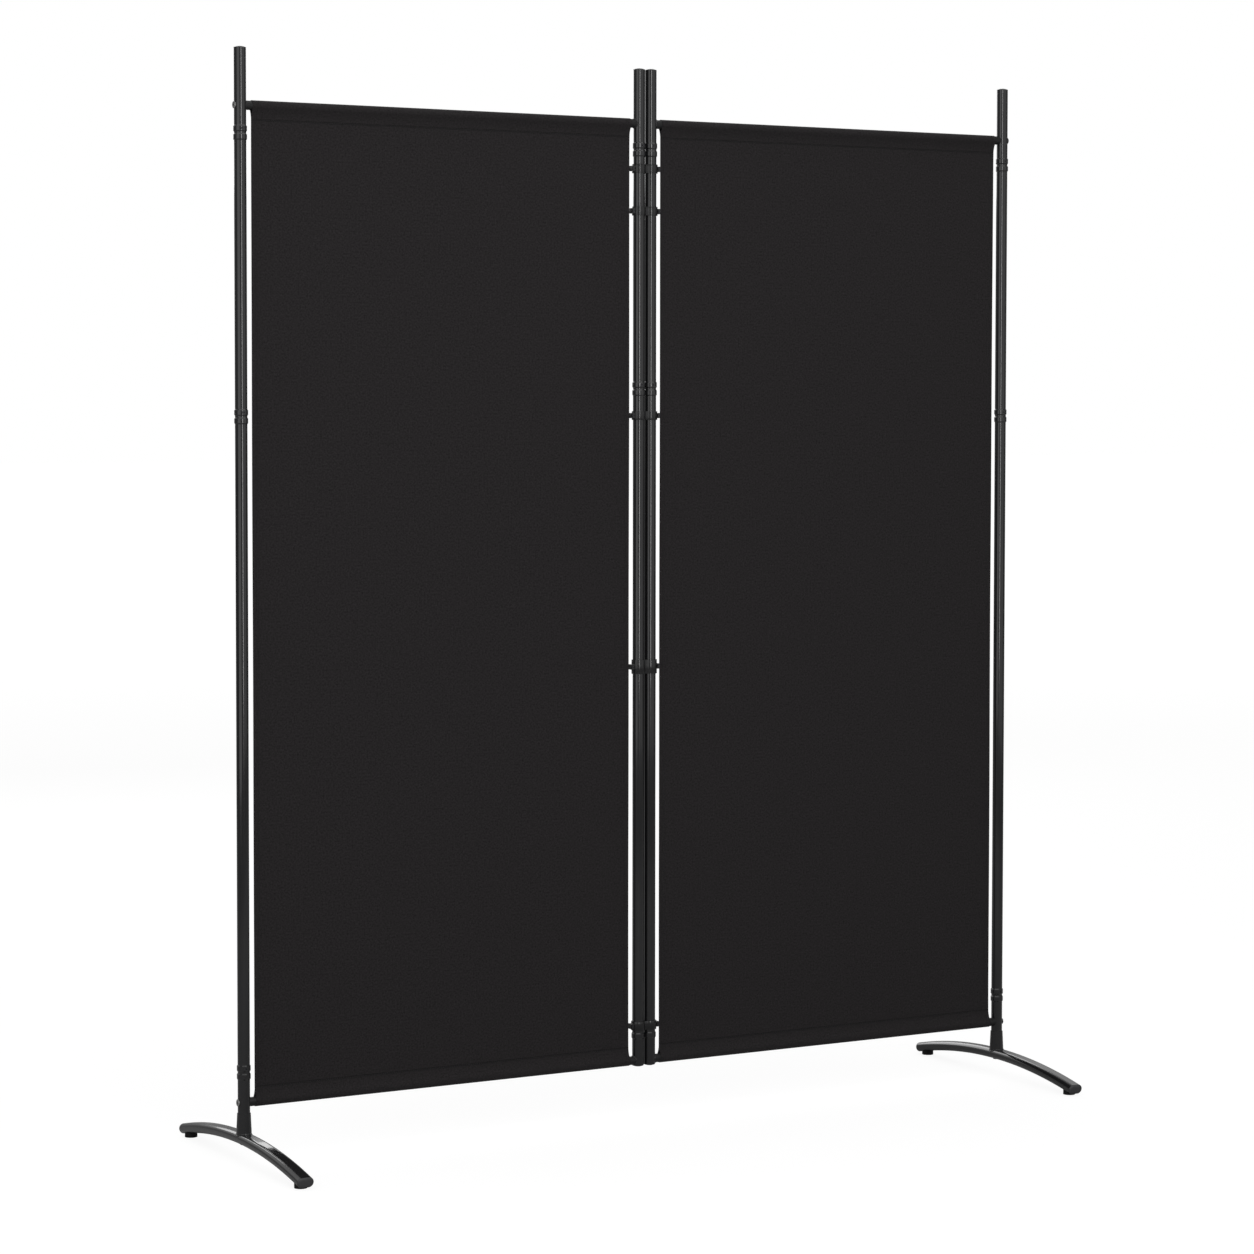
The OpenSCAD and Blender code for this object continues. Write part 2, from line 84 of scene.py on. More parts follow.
ARCH_HALF, ARCH_DROP = 236 * MM, 26 * MM
ARCH_BEND = (ARCH_HALF ** 2 + ARCH_DROP ** 2) / (2 * ARCH_DROP)
SIDES = {"left": -1, "right": 1}


# ---------------------------------------------------------------- small tools

def deselect():
    if bpy.context.object and bpy.context.object.mode != "OBJECT":
        bpy.ops.object.mode_set(mode="OBJECT")
    bpy.ops.object.select_all(action="DESELECT")


def middle(node):
    low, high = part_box(node)
    return (low + high) / 2


def only(o):
    deselect()
    o.select_set(True)
    bpy.context.view_layer.objects.active = o
    return o


def edit(o):
    only(o)
    bpy.ops.object.mode_set(mode="EDIT")


def pick(test, kind="VERT"):
    """Selects the edit mesh's vertices, edges or faces that pass the test."""
    bpy.ops.mesh.select_mode(type=kind)
    bpy.ops.mesh.select_all(action="DESELECT")
    mesh = bmesh.from_edit_mesh(bpy.context.object.data)
    for part in {"VERT": mesh.verts, "EDGE": mesh.edges, "FACE": mesh.faces}[kind]:
        if test(part):
            part.select_set(True)
    bmesh.update_edit_mesh(bpy.context.object.data)


def apply_modifiers(o):
    only(o)
    for m in list(o.modifiers):
        bpy.ops.object.modifier_apply(modifier=m.name)


def smooth(o, degrees=40):
    only(o)
    bpy.ops.object.shade_smooth_by_angle(angle=math.radians(degrees))


def join(parts, name):
    deselect()
    for p in parts:
        p.select_set(True)
    bpy.context.view_layer.objects.active = parts[0]
    bpy.ops.object.join()
    parts[0].name = name
    return parts[0]


def place(o, matrix):
    """Moves a finished shape to its place in its mesh and leaves the object at the origin."""
    o.data.transform(matrix)
    o.matrix_world = Matrix.Identity(4)
    return o


def dress(o, name, material, body, replaces=()):
    o.name = name
    o.data.name = name
    o.data.materials.clear()
    o.data.materials.append(material)
    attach(o, body)
    if replaces:
        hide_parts(*replaces)
    return o


# ------------------------------------------------------------ shader groups

def group(name, inputs, outputs):
    g = bpy.data.node_groups.new(name, "ShaderNodeTree")
    for n, kind, value in inputs:
        s = g.interface.new_socket(name=n, in_out="INPUT", socket_type=kind)
        if value is not None:
            s.default_value = value
    for n, kind in outputs:
        g.interface.new_socket(name=n, in_out="OUTPUT", socket_type=kind)
    return g, g.nodes.new("NodeGroupInput"), g.nodes.new("NodeGroupOutput")


def add_node(tree, kind, links=None, **settings):
    """A node with its settings; links gives each input's name or number and its value or source."""
    n = tree.nodes.new(kind)
    for k, v in settings.items():
        setattr(n, k, v)
    for k, v in (links or {}).items():
        if isinstance(v, bpy.types.NodeSocket):
            tree.links.new(v, n.inputs[k])
        else:
            n.inputs[k].default_value = v
    return n


def maths(tree, operation, a, b=0.0, c=0.0, clamp=False):
    sum_node = add_node(tree, "ShaderNodeMath", {0: a, 1: b, 2: c}, operation=operation, use_clamp=clamp)
    return sum_node.outputs[0]


def between(tree, value, a, b, to_a=0.0, to_b=1.0):
    """Eases from to_a to to_b as the value goes from a to b."""
    return add_node(tree, "ShaderNodeMapRange",
                    {"Value": value, "From Min": a, "From Max": b, "To Min": to_a, "To Max": to_b},
                    interpolation_type="SMOOTHSTEP").outputs["Result"]


def coat_group():
    """Sprayed and baked coat: orange peel, a slow drift of gloss, and specks of dust under it."""
    g, i, o = group("sprayed coat",
                    [("Vector", "NodeSocketVector", None), ("Peel", "NodeSocketFloat", 420.0),
                     ("Gloss", "NodeSocketFloat", 0.3), ("Drift", "NodeSocketFloat", 0.06)],
                    [("Height", "NodeSocketFloat"), ("Roughness", "NodeSocketFloat"),
                     ("Speck", "NodeSocketFloat")])
    peel = add_node(g, "ShaderNodeTexNoise", {"Vector": i.outputs["Vector"], "Scale": i.outputs["Peel"],
                                              "Detail": 2.0, "Roughness": 0.45})
    slow = add_node(g, "ShaderNodeTexNoise", {"Vector": i.outputs["Vector"], "Scale": 14.0,
                                              "Detail": 4.0})
    dust = add_node(g, "ShaderNodeTexVoronoi", {"Vector": i.outputs["Vector"], "Scale": 260.0})
    speck = between(g, dust.outputs["Distance"], 0.1, 0.04)
    drift = maths(g, "MULTIPLY", maths(g, "SUBTRACT", slow.outputs["Fac"], 0.5), i.outputs["Drift"])
    uneven = maths(g, "ADD", drift, maths(g, "MULTIPLY", speck, 0.08))
    rough = maths(g, "ADD", i.outputs["Gloss"], uneven, clamp=True)
    g.links.new(peel.outputs["Fac"], o.inputs["Height"])
    g.links.new(rough, o.inputs["Roughness"])
    g.links.new(speck, o.inputs["Speck"])
    return g


def wear_group():
    """Rubbed edges: where a rounded normal leaves the true one, broken up by noise."""
    g, i, o = group("rubbed edges",
                    [("Vector", "NodeSocketVector", None), ("Width", "NodeSocketFloat", 0.0006),
                     ("Amount", "NodeSocketFloat", 0.5)],
                    [("Mask", "NodeSocketFloat")])
    round_normal = add_node(g, "ShaderNodeBevel", {"Radius": i.outputs["Width"]}, samples=4)
    true_normal = add_node(g, "ShaderNodeNewGeometry")
    dot = add_node(g, "ShaderNodeVectorMath",
                   {0: round_normal.outputs[0], 1: true_normal.outputs["Normal"]},
                   operation="DOT_PRODUCT").outputs["Value"]
    break_up = add_node(g, "ShaderNodeTexNoise", {"Vector": i.outputs["Vector"], "Scale": 95.0,
                                                  "Detail": 5.0})
    edge = between(g, dot, 0.985, 0.86)
    mask = maths(g, "MULTIPLY", edge, between(g, break_up.outputs["Fac"], 0.46, 0.62))
    g.links.new(maths(g, "MULTIPLY", mask, i.outputs["Amount"], clamp=True), o.inputs["Mask"])
    return g


def grain_group():
    """Fine spark-eroded grain of a moulded part, with faint flow marks."""
    g, i, o = group("moulded grain",
                    [("Vector", "NodeSocketVector", None), ("Grain", "NodeSocketFloat", 900.0),
                     ("Sheen", "NodeSocketFloat", 0.45), ("Drift", "NodeSocketFloat", 0.08)],
                    [("Height", "NodeSocketFloat"), ("Roughness", "NodeSocketFloat"),
                     ("Tone", "NodeSocketFloat")])
    fine = add_node(g, "ShaderNodeTexNoise", {"Vector": i.outputs["Vector"], "Scale": i.outputs["Grain"],
                                              "Detail": 3.0, "Roughness": 0.6})
    flow = add_node(g, "ShaderNodeTexNoise", {"Vector": i.outputs["Vector"], "Scale": 60.0, "Detail": 3.0,
                                              "Distortion": 0.8})
    rough = maths(g, "MULTIPLY_ADD", maths(g, "SUBTRACT", flow.outputs["Fac"], 0.5), i.outputs["Drift"],
                  i.outputs["Sheen"], clamp=True)
    g.links.new(fine.outputs["Fac"], o.inputs["Height"])
    g.links.new(rough, o.inputs["Roughness"])
    g.links.new(flow.outputs["Fac"], o.inputs["Tone"])
    return g


def weave_group():
    """Plain weave: warp and weft threads that cross over and under, with slubs and a slow mottle.
    Its tone is partly painted shade, darker where the threads dip and lighter on their crests.
    """
    g, i, o = group("plain weave",
                    [("Vector", "NodeSocketVector", None), ("Threads", "NodeSocketFloat", 1700.0)],
                    [("Height", "NodeSocketFloat"), ("Tone", "NodeSocketFloat"),
                     ("Mottle", "NodeSocketFloat")])
    wobble = add_node(g, "ShaderNodeTexNoise", {"Vector": i.outputs["Vector"], "Scale": 35.0,
                                                "Detail": 2.0})
    shift = add_node(g, "ShaderNodeVectorMath", {0: wobble.outputs["Color"], 1: (0.0011, 0.0011, 0.0)},
                     operation="MULTIPLY").outputs["Vector"]
    spot = add_node(g, "ShaderNodeVectorMath", {0: i.outputs["Vector"], 1: shift},
                    operation="ADD").outputs["Vector"]
    split = add_node(g, "ShaderNodeSeparateXYZ", {0: spot})
    turn = maths(g, "MULTIPLY", i.outputs["Threads"], math.pi)
    u, v = (maths(g, "SINE", maths(g, "MULTIPLY", split.outputs[k], turn)) for k in (0, 1))
    over = maths(g, "MULTIPLY_ADD", maths(g, "MULTIPLY", u, v), 0.5, 0.5)
    warp = maths(g, "MULTIPLY", maths(g, "ABSOLUTE", u), over)
    weft = maths(g, "MULTIPLY", maths(g, "ABSOLUTE", v), maths(g, "SUBTRACT", 1.0, over))
    height = maths(g, "MAXIMUM", warp, weft)
    slub = []
    for stretch in ((25.0, 900.0, 1.0), (900.0, 25.0, 1.0)):
        drawn_out = add_node(g, "ShaderNodeVectorMath", {0: spot, 1: stretch}, operation="MULTIPLY")
        slub.append(add_node(g, "ShaderNodeTexNoise", {"Vector": drawn_out.outputs[0], "Scale": 1.0,
                                                       "Detail": 2.0}).outputs["Fac"])
    slubs = maths(g, "MULTIPLY", maths(g, "ADD", slub[0], slub[1]), 0.5)
    mottle = add_node(g, "ShaderNodeTexNoise", {"Vector": i.outputs["Vector"], "Scale": 60.0, "Detail": 6.0,
                                                "Roughness": 0.7})
    fleck = add_node(g, "ShaderNodeTexNoise", {"Vector": i.outputs["Vector"], "Scale": 330.0,
                                               "Detail": 1.0})
    g.links.new(maths(g, "MULTIPLY_ADD", slubs, 0.6, height), o.inputs["Height"])
    # Painted shade: the tone is darker where the threads dip and lighter on their crests; slubs and flecks
    # add their own tone
    threads = maths(g, "MULTIPLY_ADD", height, 0.5, maths(g, "MULTIPLY", slubs, 0.6))
    fleck_tone = maths(g, "SUBTRACT", fleck.outputs["Fac"], 0.5)
    uneven = maths(g, "MULTIPLY_ADD", fleck_tone, 1.6, threads, clamp=True)
    g.links.new(uneven, o.inputs["Tone"])
    g.links.new(mottle.outputs["Fac"], o.inputs["Mottle"])
    return g


def seam_group():
    """Dents that a stitched line pulls into cloth, and the painted shade along them: at two heights V, and
    at the distance U from the middle of both side hems."""
    g, i, o = group("stitched dents and painted shade",
                    [("Vector", "NodeSocketVector", None), ("Low seam", "NodeSocketFloat", 0.0),
                     ("High seam", "NodeSocketFloat", 1.0), ("Hem", "NodeSocketFloat", 0.34),
                     ("Stitch", "NodeSocketFloat", 0.004)],
                    [("Height", "NodeSocketFloat"), ("Painted shade", "NodeSocketFloat")])
    split = add_node(g, "ShaderNodeSeparateXYZ", {0: i.outputs["Vector"]})
    u, v = split.outputs[0], split.outputs[1]
    low = maths(g, "ABSOLUTE", maths(g, "SUBTRACT", v, i.outputs["Low seam"]))
    high = maths(g, "ABSOLUTE", maths(g, "SUBTRACT", v, i.outputs["High seam"]))
    seam = maths(g, "MINIMUM", low, high)
    side = maths(g, "ABSOLUTE", maths(g, "SUBTRACT", maths(g, "ABSOLUTE", u), i.outputs["Hem"]))
    hem_line = maths(g, "MULTIPLY", between(g, side, 0.0016, 0.0), 0.35)
    line = maths(g, "MAXIMUM", between(g, seam, 0.0024, 0.0004), hem_line)
    stitches = maths(g, "DIVIDE", maths(g, "ADD", u, v), i.outputs["Stitch"])
    run = maths(g, "MULTIPLY", stitches, 2 * math.pi)
    beat = maths(g, "MULTIPLY_ADD", maths(g, "SINE", run), 0.25, 0.75)
    # One mask for both: the bump of the pulled-in cloth, and painted shade that darkens the cloth along the
    # stitch lines
    dent_and_painted_shade = maths(g, "MULTIPLY", line, beat)
    g.links.new(maths(g, "MULTIPLY", dent_and_painted_shade, -1.0), o.inputs["Height"])
    g.links.new(dent_and_painted_shade, o.inputs["Painted shade"])
    return g


COAT = coat_group()
WEAR = wear_group()
GRAIN = grain_group()
WEAVE = weave_group()
SEAM = seam_group()


def new_material(name):
    m = bpy.data.materials.new(name)
    m.use_nodes = True
    t = m.node_tree
    return m, t, t.nodes["Principled BSDF"]


def use(tree, tree_group, **values):
    n = tree.nodes.new("ShaderNodeGroup")
    n.node_tree = tree_group
    for k, v in values.items():
        k = k.replace("_", " ")
        if isinstance(v, bpy.types.NodeSocket):
            tree.links.new(v, n.inputs[k])
        else:
            n.inputs[k].default_value = v
    return n


def tinted(tree, base, other, factor):
    return add_node(tree, "ShaderNodeMix", {"Factor": factor, 6: (*base, 1.0), 7: (*other, 1.0)},
                    data_type="RGBA").outputs[2]


def bump(tree, bsdf, height, strength, distance):
    b = add_node(tree, "ShaderNodeBump", {"Strength": strength, "Distance": distance, "Height": height})
    tree.links.new(b.outputs["Normal"], bsdf.inputs["Normal"])


# Each maker's lift is the strength of its bump

def coated_steel(name, base, gloss, peel, coat, coat_rough, lift, specular=0.5):
    m, t, b = new_material(name)
    spot = add_node(t, "ShaderNodeTexCoord").outputs["Object"]
    skin = use(t, COAT, Vector=spot, Peel=peel, Gloss=gloss, Drift=0.08)
    worn = use(t, WEAR, Vector=spot, Width=0.0005, Amount=0.35)
    pale = tuple(min(1.0, c * 2.2 + 0.004) for c in base)
    rubbed = worn.outputs["Mask"]
    lighter = maths(t, "MULTIPLY_ADD", skin.outputs["Speck"], 0.25, rubbed, clamp=True)
    t.links.new(tinted(t, base, pale, lighter), b.inputs["Base Color"])
    duller = maths(t, "MULTIPLY_ADD", rubbed, 0.15, skin.outputs["Roughness"], clamp=True)
    t.links.new(duller, b.inputs["Roughness"])
    b.inputs["Coat Weight"].default_value = coat
    b.inputs["Coat Roughness"].default_value = coat_rough
    b.inputs["Specular IOR Level"].default_value = specular
    bump(t, b, skin.outputs["Height"], lift, 0.00012)
    return m


def moulded(name, base, sheen, grain, lift, specular=0.45):
    m, t, b = new_material(name)
    spot = add_node(t, "ShaderNodeTexCoord").outputs["Object"]
    skin = use(t, GRAIN, Vector=spot, Grain=grain, Sheen=sheen, Drift=0.14)
    worn = use(t, WEAR, Vector=spot, Width=0.0004, Amount=0.4)
    colour = tinted(t, base, tuple(c * 1.5 + 0.002 for c in base), skin.outputs["Tone"])
    pale = add_node(t, "ShaderNodeMix", {"Factor": worn.outputs["Mask"], 6: colour,
                                         7: (*(c * 2.2 + 0.01 for c in base), 1.0)}, data_type="RGBA")
    t.links.new(pale.outputs[2], b.inputs["Base Color"])
    t.links.new(skin.outputs["Roughness"], b.inputs["Roughness"])
    b.inputs["Specular IOR Level"].default_value = specular
    bump(t, b, skin.outputs["Height"], lift, 0.00015)
    return m


def plated(name, base, rough, scale, lift):
    m, t, b = new_material(name)
    spot = add_node(t, "ShaderNodeTexCoord").outputs["Object"]
    skin = use(t, GRAIN, Vector=spot, Grain=scale, Sheen=rough, Drift=0.22)
    worn = use(t, WEAR, Vector=spot, Width=0.0003, Amount=0.6)
    colour = tinted(t, base, tuple(min(1.0, c * 1.3 + 0.03) for c in base),
                    maths(t, "MULTIPLY_ADD", skin.outputs["Tone"], 0.4, worn.outputs["Mask"], clamp=True))
    t.links.new(colour, b.inputs["Base Color"])
    t.links.new(skin.outputs["Roughness"], b.inputs["Roughness"])
    b.inputs["Metallic"].default_value = 1.0
    bump(t, b, skin.outputs["Height"], lift, 0.0001)
    return m


def woven_cloth(name, web_length, hem_line):
    """Cloth whose pattern follows its cut shape: U from its middle and V down from its top seam."""
    m, t, b = new_material(name)
    flat = add_node(t, "ShaderNodeUVMap", uv_map="flat_cloth").outputs["UV"]
    weave = use(t, WEAVE, Vector=flat, Threads=1700.0)
    seams = use(t, SEAM, Vector=flat, Low_seam=0.0, High_seam=web_length, Hem=hem_line,
                Stitch=STITCH_PITCH)
    # The weave's tone picks the colour between these two, so it carries painted shade between the threads
    # as well as slub and fleck tone
    base = tinted(t, (0.0055, 0.0047, 0.0050), (0.0262, 0.0233, 0.0245), weave.outputs["Tone"])
    patchy = add_node(t, "ShaderNodeMix", {
        "Factor": between(t, weave.outputs["Mottle"], 0.35, 0.65, 0.0, 0.35), 6: base,
        7: (0.0225, 0.0202, 0.0211, 1.0)}, data_type="RGBA").outputs[2]
    # Painted shade: along the seam and hem stitch lines the cloth's colour goes towards a near-black,
    # standing in for the shadow in their dents
    painted_seam_shade = maths(t, "MULTIPLY", seams.outputs["Painted shade"], 0.9)
    painted_seam_shadow = add_node(t, "ShaderNodeMix", {"Factor": painted_seam_shade, 6: patchy, 7: (0.008, 0.0075, 0.0078, 1.0)},
                    data_type="RGBA").outputs[2]
    t.links.new(painted_seam_shadow, b.inputs["Base Color"])
    t.links.new(between(t, weave.outputs["Mottle"], 0.3, 0.7, 0.84, 0.94), b.inputs["Roughness"])
    b.inputs["Specular IOR Level"].default_value = 0.22
    b.inputs["Sheen Weight"].default_value = 0.06
    b.inputs["Sheen Roughness"].default_value = 0.45
    dents = maths(t, "MULTIPLY", seams.outputs["Height"], 1.4)
    height = maths(t, "MULTIPLY_ADD", weave.outputs["Height"], 0.16, dents)
    bump(t, b, height, 0.8, 0.0006)
    return m


def sewing_thread(name):
    m, t, b = new_material(name)
    spot = add_node(t, "ShaderNodeTexCoord").outputs["Object"]
    wave = add_node(t, "ShaderNodeTexWave",
                    {"Vector": spot, "Scale": 900.0, "Distortion": 1.5, "Detail": 1.0},
                    bands_direction="DIAGONAL")
    twist = wave.outputs["Fac"]
    t.links.new(tinted(t, (0.011, 0.0105, 0.011), (0.03, 0.029, 0.03), twist), b.inputs["Base Color"])
    t.links.new(between(t, twist, 0.0, 1.0, 0.6, 0.75), b.inputs["Roughness"])
    bump(t, b, twist, 0.6, 0.0001)
    return m


web_length = ((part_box("left_top_rail")[0].z + RAIL_R - SEAM_DROP)
              - (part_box("left_bottom_rail")[0].z + RAIL_R + SEAM_DROP))
satin_coat = coated_steel("satin_powder_coat", (0.0100, 0.0100, 0.0108), gloss=0.13, peel=520.0,
                          coat=0.30, coat_rough=0.05, lift=0.022)
rail_coat = coated_steel("rail_powder_coat", (0.0080, 0.0080, 0.0086), gloss=0.48, peel=520.0,
                         coat=0.0, coat_rough=0.3, lift=0.3, specular=0.35)
gloss_coat = coated_steel("gloss_powder_coat", (0.0130, 0.0130, 0.0138), gloss=0.16, peel=300.0,
                          coat=0.6, coat_rough=0.05, lift=0.12)
clip_nylon = moulded("clip_nylon", (0.006, 0.006, 0.0063), sheen=0.20, grain=1100.0, lift=0.10,
                     specular=0.5)
plug_plastic = moulded("plug_plastic", (0.012, 0.012, 0.0125), sheen=0.34, grain=800.0, lift=0.25)
cap_plastic = moulded("foot_cap_plastic", (0.034, 0.034, 0.036), sheen=0.40, grain=900.0, lift=0.35)
glide_rubber = moulded("glide_rubber", (0.008, 0.008, 0.008), sheen=0.75, grain=700.0, lift=0.6,
                       specular=0.3)
bolt_nickel = plated("bolt_nickel", (0.33, 0.33, 0.325), rough=0.30, scale=1300.0, lift=0.25)
black_oxide = plated("black_oxide_screw", (0.055, 0.055, 0.058), rough=0.36, scale=1500.0, lift=0.3)
panel_cloth = woven_cloth("panel_cloth", web_length, web_width / 2 - HEM_STITCH)
thread = sewing_thread("seam_thread")

FINISH = {"powder_coat": satin_coat, "gloss_coat": gloss_coat, "clip_plastic": clip_nylon,
          "plug_plastic": plug_plastic, "cap_plastic": cap_plastic, "glide_rubber": glide_rubber,
          "bright_bolt": bolt_nickel, "dark_fastener": black_oxide, "panel_cloth": panel_cloth}
for part in frame["record"]["subparts"]:
    finish = rail_coat if part["node"].endswith("_rail") else FINISH[part["material_slot"]]
    for s in nodes[part["node"]].material_slots:
        s.material = finish


# ------------------------------------------------------------------- fabric

def pocket_path(rail_z, up):
    """Middle line of the cloth from its seam round the rail and back to its turned end, as (y, z) points.
    It leaves the seam on the front, and up is 1 for the top pocket and -1 for the bottom one."""
    leave_y, leave_z = POCKET_R * math.cos(POCKET_WRAP), -POCKET_R * math.sin(POCKET_WRAP)
    opening = 2.1    # how slowly the two layers part above the seam
    front_steps, arc_steps, turn_steps = 10, 24, 4
    front = []
    for k in range(front_steps):
        f = k / front_steps
        front.append((FRONT_LAY - (leave_y + FRONT_LAY) * f ** opening,
                      -SEAM_DROP + (SEAM_DROP + leave_z) * f))
    arc = []
    for k in range(arc_steps + 1):
        a = -POCKET_WRAP + (math.pi + 2 * POCKET_WRAP) * k / arc_steps
        arc.append((-POCKET_R * math.cos(a), POCKET_R * math.sin(a)))
    back = [(-y, z) for y, z in reversed(front)]
    turned = [(BACK_LAY, -SEAM_DROP - SEAM_TURN * k / turn_steps) for k in range(1, turn_steps + 1)]
    return [(y, rail_z + up * z) for y, z in front + arc + back + turned]


def sheet_path(low_rail_z, high_rail_z):
    """The whole cloth's middle line, from its turned end behind the top seam, over the top rail, down the
    front and round the bottom rail, to its turned end behind the bottom seam."""
    top = list(reversed(pocket_path(high_rail_z, 1)))
    bottom = pocket_path(low_rail_z, -1)
    z_top, z_bottom = top[-1][1], bottom[0][1]
    rows, crowding = 190, 0.4    # crowding brings the rows closer near the seams
    settle = 20 * MM             # how soon the web comes back to its plane away from a seam
    web = []
    for k in range(1, rows):
        f = k / rows
        f = f - crowding * math.sin(2 * math.pi * f) / (2 * math.pi)
        z = z_top + (z_bottom - z_top) * f
        gap = min(z_top - z, z - z_bottom)
        web.append((FRONT_LAY * math.exp(-gap / settle), z))
    return top + web + bottom


def hang(x, z, z_low, z_high, phase):
    """How far the hung cloth stands off its plane, in metres: slow waves across the web, which fade at its
    ends, and small puckers at the seams."""
    inside = np.clip((z - z_low) * (z_high - z) / (0.25 * (z_high - z_low) ** 2), 0, 1) ** 0.6
    up = (z - z_low) / (z_high - z_low)
    slow = (0.80 * np.sin(2 * np.pi * x / 0.37 + phase) * np.sin(np.pi * up + 0.2)
            + 0.45 * np.sin(2 * np.pi * (x / 0.19 + z / 1.9) + 2.1 * phase)
            + 0.30 * np.sin(2 * np.pi * (z / 0.62 - x / 0.9) + phase))
    near = np.minimum(np.abs(z - z_low), np.abs(z - z_high))
    below = ((z > z_low) & (z < z_high)).astype(float)
    pucker = (0.22 * np.sin(2 * np.pi * x / 0.031 + 3 * phase)
              + 0.16 * np.sin(2 * np.pi * x / 0.0173 + phase)
              + 0.25 * np.sin(2 * np.pi * x / 0.083 + 2 * phase))
    pucker = pucker * np.exp(-near / 0.035) * (1 - np.exp(-near / 0.006)) * below
    return MM * (slow * inside + pucker)


def points_of(mesh):
    co = np.zeros(len(mesh.vertices) * 3)
    mesh.vertices.foreach_get("co", co)
    return co.reshape(-1, 3)


def corner_points(mesh):
    """The vertex number of each face corner."""
    corner = np.zeros(len(mesh.loops), int)
    mesh.loops.foreach_get("vertex_index", corner)
    return corner


def fabric_panel(side):
    """One hung cloth with its pockets and side hems, its stitching, and its cut size."""
    low_rail, high_rail = middle(f"{side}_bottom_rail").z, middle(f"{side}_top_rail").z
    low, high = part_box(f"{side}_fabric")
    centre_x = (low.x + high.x) / 2
    half_web = web_width / 2
    z_low, z_high = low_rail + SEAM_DROP, high_rail - SEAM_DROP
    path = sheet_path(low_rail, high_rail)
    along = [0.0]
    for a, b in zip(path, path[1:]):
        along.append(along[-1] + math.dist(a, b))
    seam_row = next(k for k, p in enumerate(path) if abs(p[1] - z_high) < 1e-6 and p[0] < 0)
    along = [s - along[seam_row] for s in along]
    columns, rows = 84, len(path)
    deselect()
    bpy.ops.mesh.primitive_grid_add(x_subdivisions=columns, y_subdivisions=rows - 1, size=1.0)
    cloth = bpy.context.object
    mesh = cloth.data
    co = points_of(mesh)
    share = co[:, 0] * 2
    row = np.rint((0.5 - co[:, 1]) * (rows - 1)).astype(int)
    yz = np.array(path)[row]
    z = yz[:, 1]
    reach = np.maximum(z - z_high, z_low - z) / SEAM_DROP
    x = centre_x + share * half_web
    phase = WAVE_PHASE[side]
    y = yz[:, 0] + hang(x - centre_x, z, z_low, z_high, phase) * ((z < z_high) & (z > z_low))
    # Faint ripples in the front of each pocket, between its seam and its rail
    ripple = 0.18 * MM * np.sin(2 * np.pi * (x - centre_x) / 0.047 + phase)
    fade = np.clip(np.sin(np.pi * np.clip(reach * 1.1, 0, 1)), 0, 1)
    y = y + np.where(yz[:, 0] < -0.0006, ripple * fade, 0)
    mesh.vertices.foreach_set("co", np.column_stack([x, y, z]).ravel())
    uv = mesh.uv_layers.active
    uv.name = "flat_cloth"
    flat_uv = np.column_stack([share * half_web, np.array(along)[row]])[corner_points(mesh)]
    uv.data.foreach_set("uv", flat_uv.ravel())
    mesh.update()
    hems = [side_hem(centre_x, s * half_web, z_low, z_high, phase) for s in (-1, 1)]
    cloth = join([cloth, *hems], f"{side}_fabric_panel")
    only(cloth)
    thick = cloth.modifiers.new("thickness", "SOLIDIFY")
    thick.thickness, thick.offset = CLOTH, 0.0
    apply_modifiers(cloth)
    edit(cloth)
    bpy.ops.mesh.select_all(action="SELECT")
    bpy.ops.mesh.normals_make_consistent(inside=False)
    bpy.ops.object.mode_set(mode="OBJECT")
    smooth(cloth, 55)
    sewn = stitching(side, centre_x, half_web, z_low, z_high, phase)
    dress(cloth, f"{side}_fabric_panel", panel_cloth, f"{side}_panel", [f"{side}_fabric"])
    dress(sewn, f"{side}_fabric_stitching", thread, f"{side}_panel")


def side_hem(centre_x, edge_x, z_low, z_high, phase):
    """The turned edge of the cloth, lying behind the web along one side."""
    deselect()
    bpy.ops.mesh.primitive_grid_add(x_subdivisions=3, y_subdivisions=150, size=1.0)
    hem = bpy.context.object
    mesh = hem.data
    co = points_of(mesh)
    inwards = -np.sign(edge_x)
    f = co[:, 0] + 0.5
    x = edge_x + inwards * HEM * f
    z = z_low + (z_high - z_low) * (co[:, 1] + 0.5)
    y = hang(x, z, z_low, z_high, phase) + CLOTH * (0.98 - 0.30 * (f < 0.01))
    mesh.vertices.foreach_set("co", np.column_stack([centre_x + x, y, z]).ravel())
    uv = mesh.uv_layers.active
    uv.name = "flat_cloth"
    flat_uv = np.column_stack([edge_x - inwards * HEM * f, z_high - z])[corner_points(mesh)]
    uv.data.foreach_set("uv", flat_uv.ravel())
    mesh.update()
    return hem


def one_stitch(length):
    """A stitch of thread: a small capsule along X."""
    deselect()
    bpy.ops.mesh.primitive_uv_sphere_add(segments=6, ring_count=4, radius=THREAD_R)
    s = bpy.context.object
    bpy.ops.transform.resize(value=(1.0, 0.8, 1.0))
    bpy.ops.transform.rotate(value=math.radians(90), orient_axis="Y", center_override=(0, 0, 0))
    bpy.ops.object.transform_apply(location=True, rotation=True, scale=True)
    edit(s)
    pick(lambda v: v.co.x > 1e-5)
    bpy.ops.transform.translate(value=(length / 2 - THREAD_R, 0, 0))
    pick(lambda v: v.co.x < -1e-5)
    bpy.ops.transform.translate(value=(THREAD_R - length / 2, 0, 0))
    bpy.ops.object.mode_set(mode="OBJECT")
    return s


